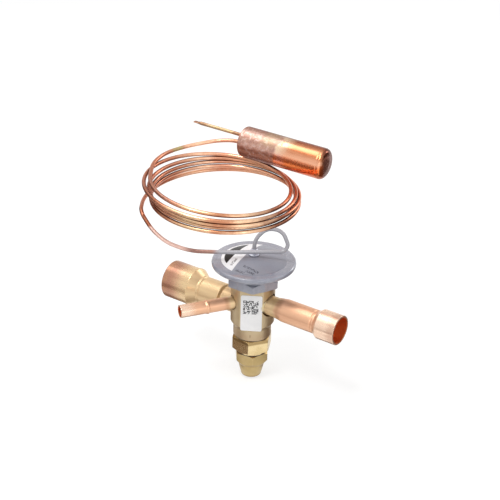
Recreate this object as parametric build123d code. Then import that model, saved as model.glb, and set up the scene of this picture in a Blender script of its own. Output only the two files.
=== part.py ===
from build123d import *
import math
import os

os.makedirs("parts", exist_ok=True)

# Thermostatic expansion valve, externally equalised, with solder sockets. Millimetres.
# The model is laid out about the valve's upright axis, with the inlet axis at height 0 and the
# inlet along +X, and is moved as a whole at the end, so that the origin is the mouth of the inlet.

# ---- fits ----
running = 0.06           # radial clearance of a piece that slides or turns
seated = 0.03            # radial gap of a brazed, pressed or screwed joint
lift_gap = 0.1           # smallest gap left between the needle and its port
guide_rise = 2.0         # travel left above the spring guide

# ---- valve body ----
body_d = 27.0            # upper barrel
barrel_low = -13.7       # where the upper barrel ends
skirt_step = 1.8         # how far the lower barrel stands back from the upper one
skirt_d = body_d - 2 * skirt_step  # lower barrel
skirt_top = -16.6
body_low = -23.7
shoulder = 11.9          # the element's gasket lies here
gasket_land = 1.1        # width of the ledge under the element's gasket
spigot_d = body_d - 2 * gasket_land  # carries the element
spigot_top = 21.3
edge = 0.5               # broken edges of turned pieces
label_bearing = 300.0    # the flat that carries the label
label_cut = 2.0          # depth of that flat
label_flat = body_d / 2 - label_cut  # distance of the flat from the axis

# ---- chambers in the body ----
skirt_wall = 2.35        # thickness of the lower barrel round the housing's thread
housing_thread_d = skirt_d - 2 * skirt_wall  # bottom housing, screwed into the body
carrier_step = 1.15      # how far the chamber stands in from that thread
carrier_d = housing_thread_d - 2 * carrier_step  # needle carrier, guided by the lower chamber
chamber_top = -8.0
housing_seat = -14.4
web_bore_d = 8.4         # port insert
inlet_drill_d = 9.2
inlet_drill_end = -2.5
outlet_drill_d = 11.6
outlet_drill_end = 5.6
rod_inset = 1.3          # the push rods' axes inside the carrier's edge
rod_radius = carrier_d / 2 - rod_inset  # circle of the two push rods
rod_bearing = 100.0
rod_d = 2.2
rod_seal_d = 4.6
rod_seal_h = 2.6
vent_radius = 9.6        # upright passage from the equaliser to the diaphragm
vent_d = 1.8
vent_drill_d = 2.4
vent_drill_end = 8.4

# ---- inlet, a swaged copper tube for a 15.88 mm line ----
sweat_gap = 0.055        # radial gap that the solder fills
inlet_line = 15.88
inlet_reach = 62.0
inlet_depth = 12.7
inlet_wall = 1.15
inlet_mid_d = 14.4
inlet_mid_wall = 1.0
inlet_neck_d = 12.2
inlet_neck_wall = 1.2
inlet_seat = 6.8         # distance of the tube's inner end from the valve's axis
inlet_neck_end = 17.0
inlet_flare = 7.0
inlet_shoulder = 2.6
inlet_bead = 0.0         # extra radius at the root of the socket
inlet_recess = 1.1       # width of the ring-shaped recess round the neck

# ---- outlet, for a 22.23 mm line ----
outlet_drop = 6.4        # outlet axis below the inlet axis
outlet_line = 22.23
outlet_reach = 61.8
outlet_depth = 19.0
outlet_wall = 0.85
outlet_mid_d = 17.6
outlet_mid_wall = 1.1
outlet_neck_d = 14.0
outlet_neck_wall = 1.2
outlet_seat = 8.9
outlet_neck_end = 20.6
outlet_flare = 0.9
outlet_shoulder = 5.0
outlet_bead = 0.3
outlet_recess = 0.9

# ---- equaliser, for a 6.35 mm line ----
equalizer_bearing = 236.0
equalizer_line = 6.35
equalizer_reach = 47.0
equalizer_depth = 8.0
equalizer_wall = 0.74
equalizer_bore_wall = 1.5
equalizer_seat = 10.8
equalizer_recess = 0.5
equalizer_ring_at = 29.0

ring_groove = 0.35       # depth of the rolled ring in a tube
ring_width = 1.2
recess_depth = 2.7       # recesses round the necks, from the barrel inwards
recess_floor = body_d / 2 - recess_depth

# ---- diaphragm element ----
rim_height = 25.6        # diaphragm plane above the inlet axis
diaphragm_d = 47.6
rim_roll = 1.7           # wall of the upper shell rolled round the lower one
rim_d = diaphragm_d + 2 * rim_roll
rim_top = 1.5
rim_low = -1.7
rim_top_round = 1.35
rim_low_round = 1.2
rim_flat = 5.3           # width of the rim's flat top
rim_land = rim_d - 2 * rim_flat  # diameter where it meets the dome
dome_rise = 3.4
sheet = 1.2              # thickness of the two shells
diaphragm_t = 0.2
ripple_h = 0.35          # height of the diaphragm's ripples
ripple_count = 3
element_wall = 2.35      # thickness of the lower shell at its hexagon's flats
element_af = spigot_d + 2 * element_wall  # hexagon of the lower shell
element_bearing = 302.6  # direction of one corner of that hexagon
element_hex_top = 17.5
element_neck_wall = 2.6  # thickness of the round neck above the hexagon
element_neck_d = spigot_d + 2 * element_neck_wall
gasket_t = 0.5
cup_floor = 19.4         # where the threaded bore opens into the cup
buffer_d = 28.0
buffer_t = 2.6

# ---- port, needle and spring ----
insert_top = -4.4
insert_flange_d = 10.4
insert_flange_t = 1.6
port_d = 3.8
needle_d = 4.8
needle_taper = 0.5       # loss of radius for each millimetre of height
needle_tip_d = 1.2
needle_shank_d = 3.0
carrier_top = -11.2
carrier_t = 2.0
carrier_pilot_d = 8.4
carrier_pilot_h = 2.4
spring_d = 11.2          # mean diameter
spring_wire = 1.3
spring_active = 6        # half turns between the closed ends
guide_top = -24.2
guide_t = 2.0
guide_d = 14.8
guide_flats = 12.8
guide_pilot_h = 1.4

# ---- bottom housing, stem and cap ----
housing_bore_d = 15.0
housing_floor = -31.0
housing_gasket_t = 0.3
housing_af = 22.2
housing_bearing = 294.4
housing_hex_low = -33.4
hex_chamfer = 30.0       # slope of the chamfers on the hexagons
collar_low = -35.2       # shoulder for the cap's gasket
collar_d = 19.2
cap_thread_d = 14.2
thread_low = -43.8
packing_top = -36.8
packing_h = 3.0
packing_d = 9.2
gland_gap = 0.1          # between the gland's head and the threaded end
gland_head_h = 2.4
gland_af = 9.0
stem_thread_d = 4.8
stem_top = -20.0
stem_collar_d = 8.8
stem_collar_h = 1.5
stem_d = 6.0
stem_square_top = -45.7
stem_square = 4.4
stem_low = -49.3
cap_gasket_t = 0.5
cap_af = 19.0
cap_bearing = 308.6
cap_corner_low = -40.9   # where the corners of its hexagon run out into a cone
cap_cone_low = -44.6
cap_round_d = 16.4
cap_end_d = 14.4
cap_low = -53.3
cap_round = 4.2
cap_hollow_d = 12.4
cap_hollow_low = -50.5
cap_clear = 0.5          # between the threaded end and the bottom of the cap's thread

# ---- capillary, in the layout's own frame: turned about the valve's axis, height from the rim ----
layout_bearing = 34.0
capillary_d = 2.4
ferrule_foot_d = 6.4
ferrule_d = 4.4
ferrule_top = 9.0
coil_at = (-20.5, 8.0, 33.1)
coil_tilt = 1.25         # the back of the coil lies higher
turn_left = [(-46.9, -0.5), (-41.3, 6.15), (-41.3, 9.25), (-42.5, 12.45), (-45.3, 16.0), (-41.6, 18.6)]
turn_right = [(46.3, 4.15), (44.2, 5.95), (46.3, 7.65), (44.2, 9.6), (41.1, 11.2)]
lead_route = [(0, 0, 15.0), (7.0, 0, 22.8), (16.5, -0.8, 21.8), (21.8, -3.2, 9.2), (6.0, -4.5, 9.4),
              (-14.0, -4.4, 8.3), (-38.0, -4.4, 8.5), (-51.8, -4.2, 13.5), (-60.5, -4.0, 21.6),
              (-66.2, -2.6, 31.0)]
lead_run = 6.0           # straight stretches that join the coil
tail_run = 17.5
bulb_route = [(-55.5, 40.5, 52.3), (-42.0, 50.8, 53.0), (-25.5, 55.8, 54.6)]
bulb_exit = 9.0          # straight stretch at the bulb
run_share = 0.45         # share of a run that one of its bends may use

# ---- sensing bulb ----
bulb_d = 19.05
bulb_length = 58.0
bulb_wall = 0.9
bulb_at = (16.7, 33.0, 57.45)
bulb_turn = -34.4        # direction of the bulb's closed end, in the layout's frame
bulb_round = 2.2
plug_head = 2.4
plug_spigot = 3.0
capillary_offset = -1.6
charging_offset = 3.4
charging_d = 2.2
charging_length = 39.0
pinch_length = 5.0
pinch_t = 0.8
pinch_w = 2.9

# ---- labels ----
label_w = 13.0
label_top = 8.6
label_low = -16.0
label_t = 0.12
label_corner = 1.2
dome_label_in = 7.0
dome_label_border = 0.4  # bare ring left between the label and the rim
dome_label_out = rim_land - 2 * dome_label_border


# ---- building blocks ----

def turned(outline):
    """A solid turned about Z from (radius, height) corners; a third number rounds that corner."""
    face = make_face(Polyline(*[(c[0], c[1]) for c in outline], close=True))
    for corner in outline:
        if len(corner) == 3:
            at = face.vertices().sort_by_distance(Vector(corner[0], corner[1]))[0]
            face = fillet(at, corner[2])
    return revolve(Plane.XZ * face, axis=Axis.Z)


def rod(d, low, high):
    """A round bar or drill hole about Z between two heights."""
    return Pos(0, 0, low) * Cylinder(d / 2, high - low, align=(Align.CENTER, Align.CENTER, Align.MIN))


def hexagon(af, low, high, corner_bearing):
    """A hexagonal bar about Z with one corner at the given bearing."""
    flat = RegularPolygon(af / 2, 6, major_radius=False)
    corner = flat.vertices()[0]
    own = math.degrees(math.atan2(corner.Y, corner.X))
    return Pos(0, 0, low) * Rot(0, 0, corner_bearing - own) * extrude(flat, high - low)


def chamfered_hexagon(af, low, high, bearing, top_cut=True, low_cut=True):
    """A hexagon whose corners are turned off at the chamfer's slope."""
    corner, flat = af / math.sqrt(3), af / 2
    drop = (corner - flat) * math.tan(math.radians(hex_chamfer))
    outline = [(0, low)] + ([(flat, low), (corner, low + drop)] if low_cut else [(corner, low)])
    outline += ([(corner, high - drop), (flat, high)] if top_cut else [(corner, high)]) + [(0, high)]
    return hexagon(af, low, high, bearing) & turned(outline)


def across(wide, long, low, high):
    """A block about Z between two heights."""
    return Pos(0, 0, low) * Box(wide, long, high - low, align=(Align.CENTER, Align.CENTER, Align.MIN))


def radial(bearing, height):
    """Places a piece so that its Z runs outwards from the valve's axis at that bearing and height."""
    return Pos(0, 0, height) * Rot(0, 0, bearing) * Rot(0, 90, 0)


def corner_radii(points):
    """Radii of the arcs at the inner points of a route, as large as the runs beside them allow."""
    radii = []
    for before, at, after in zip(points, points[1:], points[2:]):
        run_in, run_out = Vector(at) - Vector(before), Vector(after) - Vector(at)
        turn = math.radians(run_in.get_angle(run_out))
        radii.append(run_share * min(run_in.length, run_out.length) / math.tan(turn / 2))
    return radii


def half_turns(left, right):
    """Half circles from left to right round the back and from right to left round the front."""
    places = [Vector(x, 0, z) for pair in zip(left, right) for x, z in pair]
    if len(left) > len(right):
        places.append(Vector(left[-1][0], 0, left[-1][1]))
    arcs = []
    side = 1
    for start, end in zip(places, places[1:]):
        middle = (start + end) * 0.5 + Vector(0, side * (end - start).length / 2, 0)
        arcs.append(ThreePointArc(start, middle, end))
        side = -side
    return arcs


def tube(edges, d):
    """A round wire or tube along edges that meet end to end."""
    path = Wire([e for curve in edges for e in curve.edges()])
    section = Plane(path @ 0, z_dir=path % 0) * Circle(d / 2)
    solid = sweep(section, path=path)
    print("  swept", round(path.length, 1), "mm, volume ratio",
          round(solid.volume / (math.pi * d * d / 4 * path.length), 4))
    return solid


# ---- fittings ----

def socket_fitting(line, reach, depth, wall, mid_d, mid_wall, neck_d, neck_wall, seat, neck_end,
                   flare, shoulder_run, bead):
    """A tube with a neck in the body, a middle stretch and a swaged socket; Z is its axis."""
    bore = line / 2 + sweat_gap
    outer = bore + wall
    stop = reach - depth
    mid = mid_d / 2
    mid_end = stop - shoulder_run
    groove = mid_end - 2 * ring_width
    return turned([
        (neck_d / 2 - neck_wall, seat), (neck_d / 2, seat), (neck_d / 2, neck_end, flare / 2),
        (mid, neck_end + flare, flare / 2), (mid, groove), (mid - ring_groove, groove + ring_width / 3),
        (mid - ring_groove, groove + ring_width * 2 / 3), (mid, groove + ring_width),
        (mid, mid_end, shoulder_run / 4), (outer + bead, stop, shoulder_run / 4),
        (outer, stop + shoulder_run), (outer, reach, wall / 3), (bore, reach), (bore, stop),
        (mid - mid_wall, stop - mid_wall), (mid - mid_wall, neck_end + flare), (neck_d / 2 - neck_wall, neck_end + flare / 4)])


def inlet_fitting():
    return radial(0, 0) * socket_fitting(
        inlet_line, inlet_reach, inlet_depth, inlet_wall, inlet_mid_d, inlet_mid_wall, inlet_neck_d,
        inlet_neck_wall, inlet_seat, inlet_neck_end, inlet_flare, inlet_shoulder, inlet_bead)


def outlet_fitting():
    return radial(180, -outlet_drop) * socket_fitting(
        outlet_line, outlet_reach, outlet_depth, outlet_wall, outlet_mid_d, outlet_mid_wall,
        outlet_neck_d, outlet_neck_wall, outlet_seat, outlet_neck_end, outlet_flare, outlet_shoulder,
        outlet_bead)


equalizer_bore = equalizer_line / 2 + sweat_gap
equalizer_d = 2 * (equalizer_bore + equalizer_wall)


def equalizer_fitting():
    """A plain tube with a raised ring, bored out at its end for the line."""
    outer = equalizer_d / 2
    stop = equalizer_reach - equalizer_depth
    inner = outer - equalizer_bore_wall
    return radial(equalizer_bearing, 0) * turned([
        (inner, equalizer_seat), (outer, equalizer_seat), (outer, equalizer_ring_at),
        (outer + ring_groove, equalizer_ring_at + ring_width / 3),
        (outer + ring_groove, equalizer_ring_at + ring_width), (outer, equalizer_ring_at + 2 * ring_width),
        (outer, equalizer_reach, equalizer_wall / 3), (equalizer_bore, equalizer_reach),
        (equalizer_bore, stop), (inner, stop)])


# ---- body ----

def valve_body():
    barrel, skirt, spigot = body_d / 2, skirt_d / 2, spigot_d / 2
    shape = turned([
        (0, body_low), (skirt - edge, body_low), (skirt, body_low + edge), (skirt, skirt_top),
        (barrel, barrel_low), (barrel, shoulder - edge), (barrel - edge, shoulder), (spigot, shoulder),
        (spigot, spigot_top - edge), (spigot - edge, spigot_top), (0, spigot_top)])
    flat = Pos(0, 0, skirt_top) * Box(body_d, body_d, shoulder - skirt_top,
                                      align=(Align.MIN, Align.CENTER, Align.MIN))
    shape -= Rot(0, 0, label_bearing) * Pos(label_flat, 0, 0) * flat
    for bearing, height, neck_d, seat, recess, drill_d, drill_end in (
            (0, 0, inlet_neck_d, inlet_seat, inlet_recess, inlet_drill_d, inlet_drill_end),
            (180, -outlet_drop, outlet_neck_d, outlet_seat, outlet_recess, outlet_drill_d, outlet_drill_end),
            (equalizer_bearing, 0, equalizer_d, equalizer_seat, equalizer_recess, vent_drill_d,
             vent_drill_end)):
        hole = rod(neck_d + 2 * seated, seat, body_d) + rod(drill_d, drill_end, body_d)
        hole += rod(neck_d + 2 * recess, max(recess_floor, seat + recess), body_d)
        shape -= radial(bearing, height) * hole
    shape -= rod(web_bore_d + 2 * seated, chamber_top, 0)
    shape -= rod(carrier_d + 2 * running, housing_seat, chamber_top)
    shape -= rod(housing_thread_d + 2 * seated, body_low, housing_seat)
    shape -= Rot(0, 0, equalizer_bearing) * Pos(vent_radius, 0, 0) * rod(vent_d, 0, spigot_top)
    for place in rod_places():
        shape -= place * rod(rod_d + 2 * running, chamber_top, spigot_top)
        shape -= place * rod(rod_seal_d + 2 * seated, spigot_top - rod_seal_h, spigot_top)
    return shape


def rod_places():
    """Upright axes of the two push rods."""
    return [Rot(0, 0, rod_bearing + turn) * Pos(rod_radius, 0, 0) for turn in (0, 180)]


# ---- diaphragm element ----

buffer_low = rim_height - diaphragm_t / 2 - ripple_h - buffer_t
land_r = rim_land / 2


def dome_line(offset, inner, outer):
    """Arc of the dome between two radii, offset outwards from its outer surface."""
    big = (land_r ** 2 + dome_rise ** 2) / (2 * dome_rise)
    centre = rim_height + rim_top + dome_rise - big
    drop = [math.sqrt((big + offset) ** 2 - r * r) for r in (inner, (inner + outer) / 2, outer)]
    points = [(r, centre + h) for r, h in zip((inner, (inner + outer) / 2, outer), drop)]
    return ThreePointArc(*points), points[0], points[-1]


def element_upper_shell():
    """Pressed dome with a rim that is rolled round the edge of the lower shell."""
    hole = ferrule_d / 2 + seated
    rim = rim_d / 2
    lip = diaphragm_d / 2 + seated
    top, low = rim_height + rim_top, rim_height + rim_low
    under = rim_height + diaphragm_t / 2
    outside, peak, foot = dome_line(0, hole, land_r)
    inside, peak_in, foot_in = dome_line(-sheet, hole, land_r - sheet)
    loop = outside + Polyline(foot, (rim, top), (rim, low), (lip, low), (lip, under), (foot_in[0], under),
                              foot_in) + inside + Line(peak_in, peak)
    face = make_face(loop)
    for at, radius in (((rim, top), rim_top_round), ((rim, low), rim_low_round)):
        corner = face.vertices().sort_by_distance(Vector(*at))[0]
        face = fillet(corner, radius)
    return revolve(Plane.XZ * face, axis=Axis.Z)


def element_lower_shell():
    """Cup below the diaphragm, with the hexagon that screws it to the body."""
    bore = spigot_d / 2 + seated
    flange = diaphragm_d / 2
    top, low = rim_height - diaphragm_t / 2, rim_height + rim_low
    hex_low = shoulder + gasket_t
    corner = element_af / math.sqrt(3)
    neck = element_neck_d / 2
    ledge = land_r - sheet
    cup = turned([
        (bore, hex_low), (neck, hex_low), (neck, element_hex_top + 2 * edge),
        (neck + sheet, element_hex_top + 3 * edge), (flange - sheet, low - edge),
        (flange, low), (flange, top), (ledge, top), (ledge - edge, top - sheet),
        (bore + sheet, cup_floor + edge), (bore, cup_floor)])
    block = hexagon(element_af, hex_low, element_hex_top, element_bearing)
    block &= turned([(bore, hex_low), (corner - edge, hex_low), (corner, hex_low + edge),
                     (corner, element_hex_top - 2 * edge), (corner - 3 * edge, element_hex_top),
                     (bore, element_hex_top)])
    return cup + block - rod(2 * bore, hex_low, cup_floor)


def diaphragm():
    """Thin disc with round ripples between its clamped edge and its flat middle."""
    low, high = rim_height - diaphragm_t / 2, rim_height + diaphragm_t / 2
    inner, outer = buffer_d / 2 + edge, land_r - 2 * sheet
    step = (outer - inner) / (2 * ripple_count)
    crest = [(inner + k * step, ripple_h * (k % 2)) for k in range(2 * ripple_count + 1)]
    lower = [(r, low - h) for r, h in crest]
    upper = [(r, high - h) for r, h in reversed(crest)]
    edge_r = diaphragm_d / 2
    return turned([(0, low)] + lower + [(edge_r, low), (edge_r, high)] + upper + [(0, high)])


def element_gasket():
    top = shoulder + gasket_t
    return rod(body_d - 2 * edge, shoulder, top) - rod(spigot_d + 2 * seated, shoulder, top)


def buffer_plate():
    """Stiff plate that carries the diaphragm's push to the rods."""
    wide, hub = buffer_d / 2, rod_radius + rod_d
    low, high = buffer_low, buffer_low + buffer_t
    return turned([
        (0, low), (hub, low), (hub + edge, low + edge), (wide, high - 2 * edge), (wide, high - edge / 2),
        (wide - edge / 2, high), (0, high)])


def push_rod(place):
    return place * chamfer(rod(rod_d, carrier_top, buffer_low).edges().filter_by(GeomType.CIRCLE), edge / 2)


def rod_seal(place):
    seal = rod(rod_seal_d, spigot_top - rod_seal_h, spigot_top)
    return place * (seal - rod(rod_d + 2 * running, spigot_top - rod_seal_h, spigot_top))


# ---- port, needle and spring ----

flange_low = chamber_top - insert_flange_t


def port_insert():
    """Flanged seat in the web between inlet and outlet."""
    port, stem = port_d / 2, web_bore_d / 2
    return turned([
        (port, flange_low), (insert_flange_d / 2, flange_low), (insert_flange_d / 2, chamber_top),
        (stem, chamber_top), (stem, insert_top - edge), (stem - edge, insert_top),
        (port + 2 * edge, insert_top), (port, insert_top - 2 * edge)])


def needle_radius(z):
    """The needle's taper clears the lower edge of the port by the lift gap."""
    return port_d / 2 - lift_gap - needle_taper * (z - flange_low)


def valve_pin():
    tip = flange_low + (port_d / 2 - lift_gap - needle_tip_d / 2) / needle_taper
    base = flange_low - (needle_d / 2 - port_d / 2 + lift_gap) / needle_taper
    seat = carrier_top - edge
    shank_low = carrier_top - carrier_t - carrier_pilot_h
    return turned([
        (0, shank_low), (needle_shank_d / 2, shank_low), (needle_shank_d / 2, seat), (needle_d / 2, seat),
        (needle_d / 2, base), (needle_radius(tip), tip), (0, tip)])


def pin_carrier():
    """Disc pushed down by the rods and up by the spring, with notches that let the liquid past."""
    disc_low = carrier_top - carrier_t
    pilot_low = disc_low - carrier_pilot_h
    hole = needle_shank_d / 2 + seated
    shape = turned([
        (hole, pilot_low), (carrier_pilot_d / 2 - edge, pilot_low), (carrier_pilot_d / 2, pilot_low + edge),
        (carrier_pilot_d / 2, disc_low), (carrier_d / 2, disc_low), (carrier_d / 2, carrier_top),
        (needle_d / 2 + seated, carrier_top), (needle_d / 2 + seated, carrier_top - edge),
        (hole, carrier_top - edge)])
    for turn in (45, 135, 225, 315):
        notch = rod(carrier_t, pilot_low, carrier_top)
        shape -= Rot(0, 0, rod_bearing + turn) * Pos(carrier_d / 2, 0, 0) * notch
    return shape


def superheat_spring():
    """Compression spring with closed ends, ground flat on the carrier and on the guide."""
    high = carrier_top - carrier_t
    r = spring_d / 2
    closed = [0, spring_wire / 2, spring_wire]
    free = high - guide_top - 2 * spring_wire - spring_wire / 2
    heights = closed + [spring_wire + free * k / spring_active for k in range(1, spring_active + 1)]
    heights += [heights[-1] + h for h in closed[1:]]
    start = guide_top + spring_wire / 4
    left = [(-r, start + h) for h in heights[0::2]]
    right = [(r, start + h) for h in heights[1::2]]
    wire = tube(half_turns(left, right), spring_wire)
    room = rod(2 * spring_d, guide_top, high)
    return wire & room


def spring_guide():
    """Nut that the stem raises and lowers; two flats in the housing stop it from turning."""
    low = guide_top - guide_t
    shape = rod(guide_d, low, guide_top) & across(guide_flats, guide_d, low, guide_top)
    shape += rod(carrier_pilot_d, guide_top, guide_top + guide_pilot_h)
    return shape - rod(stem_thread_d + 2 * running, low, guide_top + guide_pilot_h)


# ---- bottom housing, stem and cap ----

housing_hex_top = body_low - housing_gasket_t


def bottom_housing():
    """Carries the spring and the stem, screws into the body and takes the cap on its lower thread."""
    thread, end = housing_thread_d / 2, cap_thread_d / 2
    top = housing_seat - edge / 2
    shape = turned([
        (0, thread_low), (end - edge, thread_low), (end, thread_low + edge), (end, collar_low),
        (collar_d / 2, collar_low), (collar_d / 2, housing_hex_low), (thread, housing_hex_low),
        (thread, top - edge), (thread - edge, top), (0, top)])
    shape += chamfered_hexagon(housing_af, housing_hex_low, housing_hex_top, housing_bearing)
    slot_top = guide_top + guide_rise + edge
    bore = rod(housing_bore_d, slot_top, top)
    bore += rod(housing_bore_d, housing_floor, slot_top) & across(
        guide_flats + 2 * running, housing_bore_d, housing_floor, slot_top)
    bore += rod(stem_d + 2 * running, thread_low, housing_floor)
    bore += rod(packing_d + 2 * seated, thread_low, packing_top)
    return shape - bore


def housing_gasket():
    wide, low = skirt_d - 2 * edge, housing_hex_top
    return rod(wide, low, body_low) - rod(housing_thread_d + 2 * seated, low, body_low)


def adjusting_stem():
    """Stem held by its collar; its upper thread moves the guide and its square takes a key."""
    collar_top = housing_floor + stem_collar_h
    r = stem_d / 2
    shape = turned([
        (0, stem_low), (r, stem_low), (r, housing_floor), (stem_collar_d / 2, housing_floor),
        (stem_collar_d / 2, collar_top), (stem_thread_d / 2, collar_top),
        (stem_thread_d / 2, stem_top - edge),
        (stem_thread_d / 2 - edge, stem_top), (0, stem_top)])
    drive = rod(2 * stem_d, stem_low, stem_square_top)
    return shape - (drive - across(stem_square, stem_square, stem_low, stem_square_top))


def stem_packing():
    low = packing_top - packing_h
    return rod(packing_d, low, packing_top) - rod(stem_d + 2 * running, low, packing_top)


def packing_gland():
    """Hollow screw that presses the packing round the stem."""
    top = packing_top - packing_h
    head_top = thread_low - gland_gap
    head_low = head_top - gland_head_h
    shape = rod(packing_d, head_top, top)
    shape += chamfered_hexagon(gland_af, head_low, head_top, cap_bearing, top_cut=False)
    return shape - rod(stem_d + 2 * running, head_low, top)


cap_top = collar_low - cap_gasket_t


def cap_gasket():
    return rod(collar_d, cap_top, collar_low) - rod(cap_thread_d + 2 * running, cap_top, collar_low)


def seal_cap():
    """Blind cap over the stem, with a hexagon at its mouth and a tapered, rounded end."""
    corner, cup, end = cap_af / math.sqrt(3), cap_round_d / 2, cap_end_d / 2
    shape = chamfered_hexagon(cap_af, cap_cone_low, cap_top, cap_bearing, low_cut=False)
    shape &= turned([(0, cap_cone_low), (cup, cap_cone_low), (corner, cap_corner_low), (corner, cap_top),
                     (0, cap_top)])
    shape += turned([
        (0, cap_low), (end - 2 * edge, cap_low + edge / 2, edge),
        (end, cap_low + cap_round, cap_round - edge), (cup, cap_cone_low), (0, cap_cone_low)])
    thread_end = thread_low - cap_clear
    shape -= rod(cap_thread_d + 2 * running, thread_end, cap_top)
    return shape - rod(cap_hollow_d, cap_hollow_low, thread_end)


# ---- capillary and bulb ----

layout = Pos(0, 0, rim_height) * Rot(0, 0, layout_bearing)
bulb_axis = Vector(math.cos(math.radians(bulb_turn)), math.sin(math.radians(bulb_turn)), 0)
bulb_open = Vector(*bulb_at) - bulb_axis * (bulb_length / 2)
bulb_place = Pos(*bulb_open) * Rot(0, 0, bulb_turn) * Rot(0, 90, 0)


def capillary_ferrule():
    """Small bush that is brazed into the crown of the dome round the capillary."""
    crown = rim_height + rim_top + dome_rise
    foot, r, bore = ferrule_foot_d / 2, ferrule_d / 2, capillary_d / 2 + seated
    top = rim_height + ferrule_top
    return turned([
        (bore, crown - sheet - edge), (r, crown - sheet - edge), (r, crown + lift_gap),
        (foot, crown + lift_gap), (foot, crown + edge), (r, crown + 2 * edge), (r, top - edge),
        (r - edge, top), (bore, top)])


def capillary_tube():
    """One length of tube: out of the ferrule, over and along, round the coil and into the bulb."""
    coil = Pos(*coil_at) * Rot(coil_tilt, 0, 0)
    start = (0, 0, rim_top + dome_rise - sheet - edge)
    (first_x, first_z), (last_x, last_z) = turn_left[0], turn_left[-1]
    join = [(coil * Pos(first_x, y, first_z)).position for y in (-lead_run, 0)]
    leave = [(coil * Pos(last_x, y, last_z)).position for y in (0, tail_run)]
    entry = bulb_open + bulb_axis * plug_head + Vector(0, 0, capillary_offset)
    straight = entry - bulb_axis * (plug_head + bulb_exit)
    lead = [Vector(*p) for p in [start] + lead_route] + join
    tail = leave + [Vector(*p) for p in bulb_route] + [straight, entry]
    for points in (lead, tail):
        print("  bend radii", [round(r, 1) for r in corner_radii(points)])
    runs = [FilletPolyline(*points, radius=corner_radii(points)) for points in (lead, tail)]
    turns = [coil * arc for arc in half_turns(turn_left, turn_right)]
    return layout * tube([runs[0]] + turns + [runs[1]], capillary_d)


def bulb_shell():
    """Drawn copper cup, closed at one end."""
    r, inner = bulb_d / 2, bulb_d / 2 - bulb_wall
    return layout * bulb_place * turned([
        (0, bulb_length), (r, bulb_length, bulb_round), (r, plug_head), (inner, plug_head),
        (inner, bulb_length - bulb_wall, bulb_round - bulb_wall), (0, bulb_length - bulb_wall)])


def bulb_end_plug():
    """Plug brazed into the cup, drilled for the capillary and for the charging tube."""
    r = bulb_d / 2
    shape = turned([
        (0, 0), (r, 0, bulb_round / 2), (r, plug_head), (r - bulb_wall - seated, plug_head),
        (r - bulb_wall - seated, plug_head + plug_spigot), (0, plug_head + plug_spigot)])
    for offset, d in ((capillary_offset, capillary_d), (charging_offset, charging_d)):
        shape -= Pos(-offset, 0, 0) * rod(d + 2 * seated, 0, plug_head + plug_spigot)
    return layout * bulb_place * shape


def charging_tube():
    """Short tube through which the bulb was filled, pinched flat at its end."""
    straight = charging_length - pinch_length
    shape = rod(charging_d, -straight, plug_head)
    flat = Ellipse(pinch_t / 2, pinch_w / 2)
    shape += loft([Pos(0, 0, -straight) * Circle(charging_d / 2),
                   Pos(0, 0, -straight - pinch_length / 2) * flat])
    shape += Pos(0, 0, -charging_length) * extrude(flat, pinch_length / 2)
    return layout * bulb_place * Pos(-charging_offset, 0, 0) * shape


# ---- labels ----

def body_label():
    """Thin label on the body's flat."""
    sheet_face = RectangleRounded(label_top - label_low, label_w, label_corner)
    place = radial(label_bearing, (label_top + label_low) / 2) * Pos(0, 0, label_flat)
    return place * extrude(sheet_face, label_t)


def dome_label():
    """Thin ring-shaped label that follows the dome."""
    inner, outer = dome_label_in / 2, dome_label_out / 2
    over, a, b = dome_line(label_t, inner, outer)
    under, c, d = dome_line(0, inner, outer)
    return revolve(Plane.XZ * make_face(over + under + Line(a, c) + Line(b, d)), axis=Axis.Z)


pieces = {
    "valve_body": valve_body(),
    "inlet_fitting": inlet_fitting(),
    "outlet_fitting": outlet_fitting(),
    "equalizer_fitting": equalizer_fitting(),
    "element_upper_shell": element_upper_shell(),
    "element_lower_shell": element_lower_shell(),
    "element_gasket": element_gasket(),
    "diaphragm": diaphragm(),
    "buffer_plate": buffer_plate(),
    "port_insert": port_insert(),
    "valve_pin": valve_pin(),
    "pin_carrier": pin_carrier(),
    "superheat_spring": superheat_spring(),
    "spring_guide": spring_guide(),
    "bottom_housing": bottom_housing(),
    "housing_gasket": housing_gasket(),
    "adjusting_stem": adjusting_stem(),
    "stem_packing": stem_packing(),
    "packing_gland": packing_gland(),
    "cap_gasket": cap_gasket(),
    "seal_cap": seal_cap(),
    "capillary_ferrule": capillary_ferrule(),
    "capillary_tube": capillary_tube(),
    "bulb_shell": bulb_shell(),
    "bulb_end_plug": bulb_end_plug(),
    "charging_tube": charging_tube(),
    "body_label": body_label(),
    "dome_label": dome_label(),
}
for letter, place in zip("ab", rod_places()):
    pieces["push_rod_" + letter] = push_rod(place)
    pieces["rod_seal_" + letter] = rod_seal(place)

for name, piece in pieces.items():
    solid = Pos(-inlet_reach, 0, 0) * piece
    export_step(solid, os.path.join("parts", name + ".step"))
    print(name, round(solid.volume, 2))
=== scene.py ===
import math
import random
import bpy
import bmesh
from mathutils import Vector, Matrix


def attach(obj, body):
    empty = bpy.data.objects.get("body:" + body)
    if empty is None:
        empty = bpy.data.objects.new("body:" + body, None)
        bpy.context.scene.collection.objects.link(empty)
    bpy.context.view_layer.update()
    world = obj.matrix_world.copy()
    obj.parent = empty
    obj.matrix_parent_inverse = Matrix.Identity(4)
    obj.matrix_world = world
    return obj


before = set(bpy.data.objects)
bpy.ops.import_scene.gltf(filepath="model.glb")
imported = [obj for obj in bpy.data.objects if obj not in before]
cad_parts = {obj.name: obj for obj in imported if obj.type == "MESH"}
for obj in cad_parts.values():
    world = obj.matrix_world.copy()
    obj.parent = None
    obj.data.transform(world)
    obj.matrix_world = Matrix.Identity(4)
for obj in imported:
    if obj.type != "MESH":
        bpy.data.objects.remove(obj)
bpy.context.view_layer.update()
print("valve frame loaded:", len(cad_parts), "nodes")

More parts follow.
